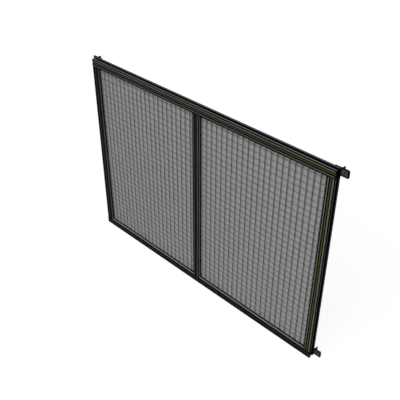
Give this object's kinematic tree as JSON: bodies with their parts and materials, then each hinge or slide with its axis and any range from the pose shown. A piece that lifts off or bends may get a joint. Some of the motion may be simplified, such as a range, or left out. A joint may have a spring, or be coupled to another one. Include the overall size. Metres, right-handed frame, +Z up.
{
  "type": "machine guard fence panel",
  "caption": "Slotted aluminium guard panel with a centre mullion, wire mesh over an opaque grey sheet, olive slot strips and corner brackets for hanging on posts.",
  "frame": {"origin": "middle of the lower left bracket's long hole, on the flat back face of the bracket, where the panel meets its post", "axes": "+X to the right along the panel as seen from its front, +Y from the panel's front to its back, towards the post, +Z up"},
  "size_m": [1.258, 0.0475, 0.83],
  "materials": {
    "anodised_bar": "dark grey anodised, satin, with fine drawing lines along the bar and darker edges",
    "cover_strip": "dull dark olive-yellow extruded plastic",
    "mesh_wire": "welded wire, dark grey powder coat",
    "grey_sheet": "opaque smoke-grey polycarbonate sheet, satin on both faces",
    "bracket_steel": "steel plate, zinc plated with a dark grey passivate",
    "nut_steel": "bright zinc-plated steel"
  },
  "bodies": {
    "root": {"top_rail": "anodised_bar", "bottom_rail": "anodised_bar", "left_stile": "anodised_bar", "right_stile": "anodised_bar", "mullion": "anodised_bar", "top_cover_strip": "cover_strip", "bottom_cover_strip": "cover_strip", "left_cover_strip": "cover_strip", "right_cover_strip": "cover_strip", "mullion_cover_strip": "cover_strip", "left_mesh_lower": "mesh_wire", "left_mesh_upper": "mesh_wire", "right_mesh_lower": "mesh_wire", "right_mesh_upper": "mesh_wire", "left_sheet": "grey_sheet", "right_sheet": "grey_sheet", "bracket_lower_left": "bracket_steel", "bracket_lower_right": "bracket_steel", "bracket_upper_left": "bracket_steel", "bracket_upper_right": "bracket_steel", "slot_nuts": "nut_steel"}
  },
  "joints": []
}
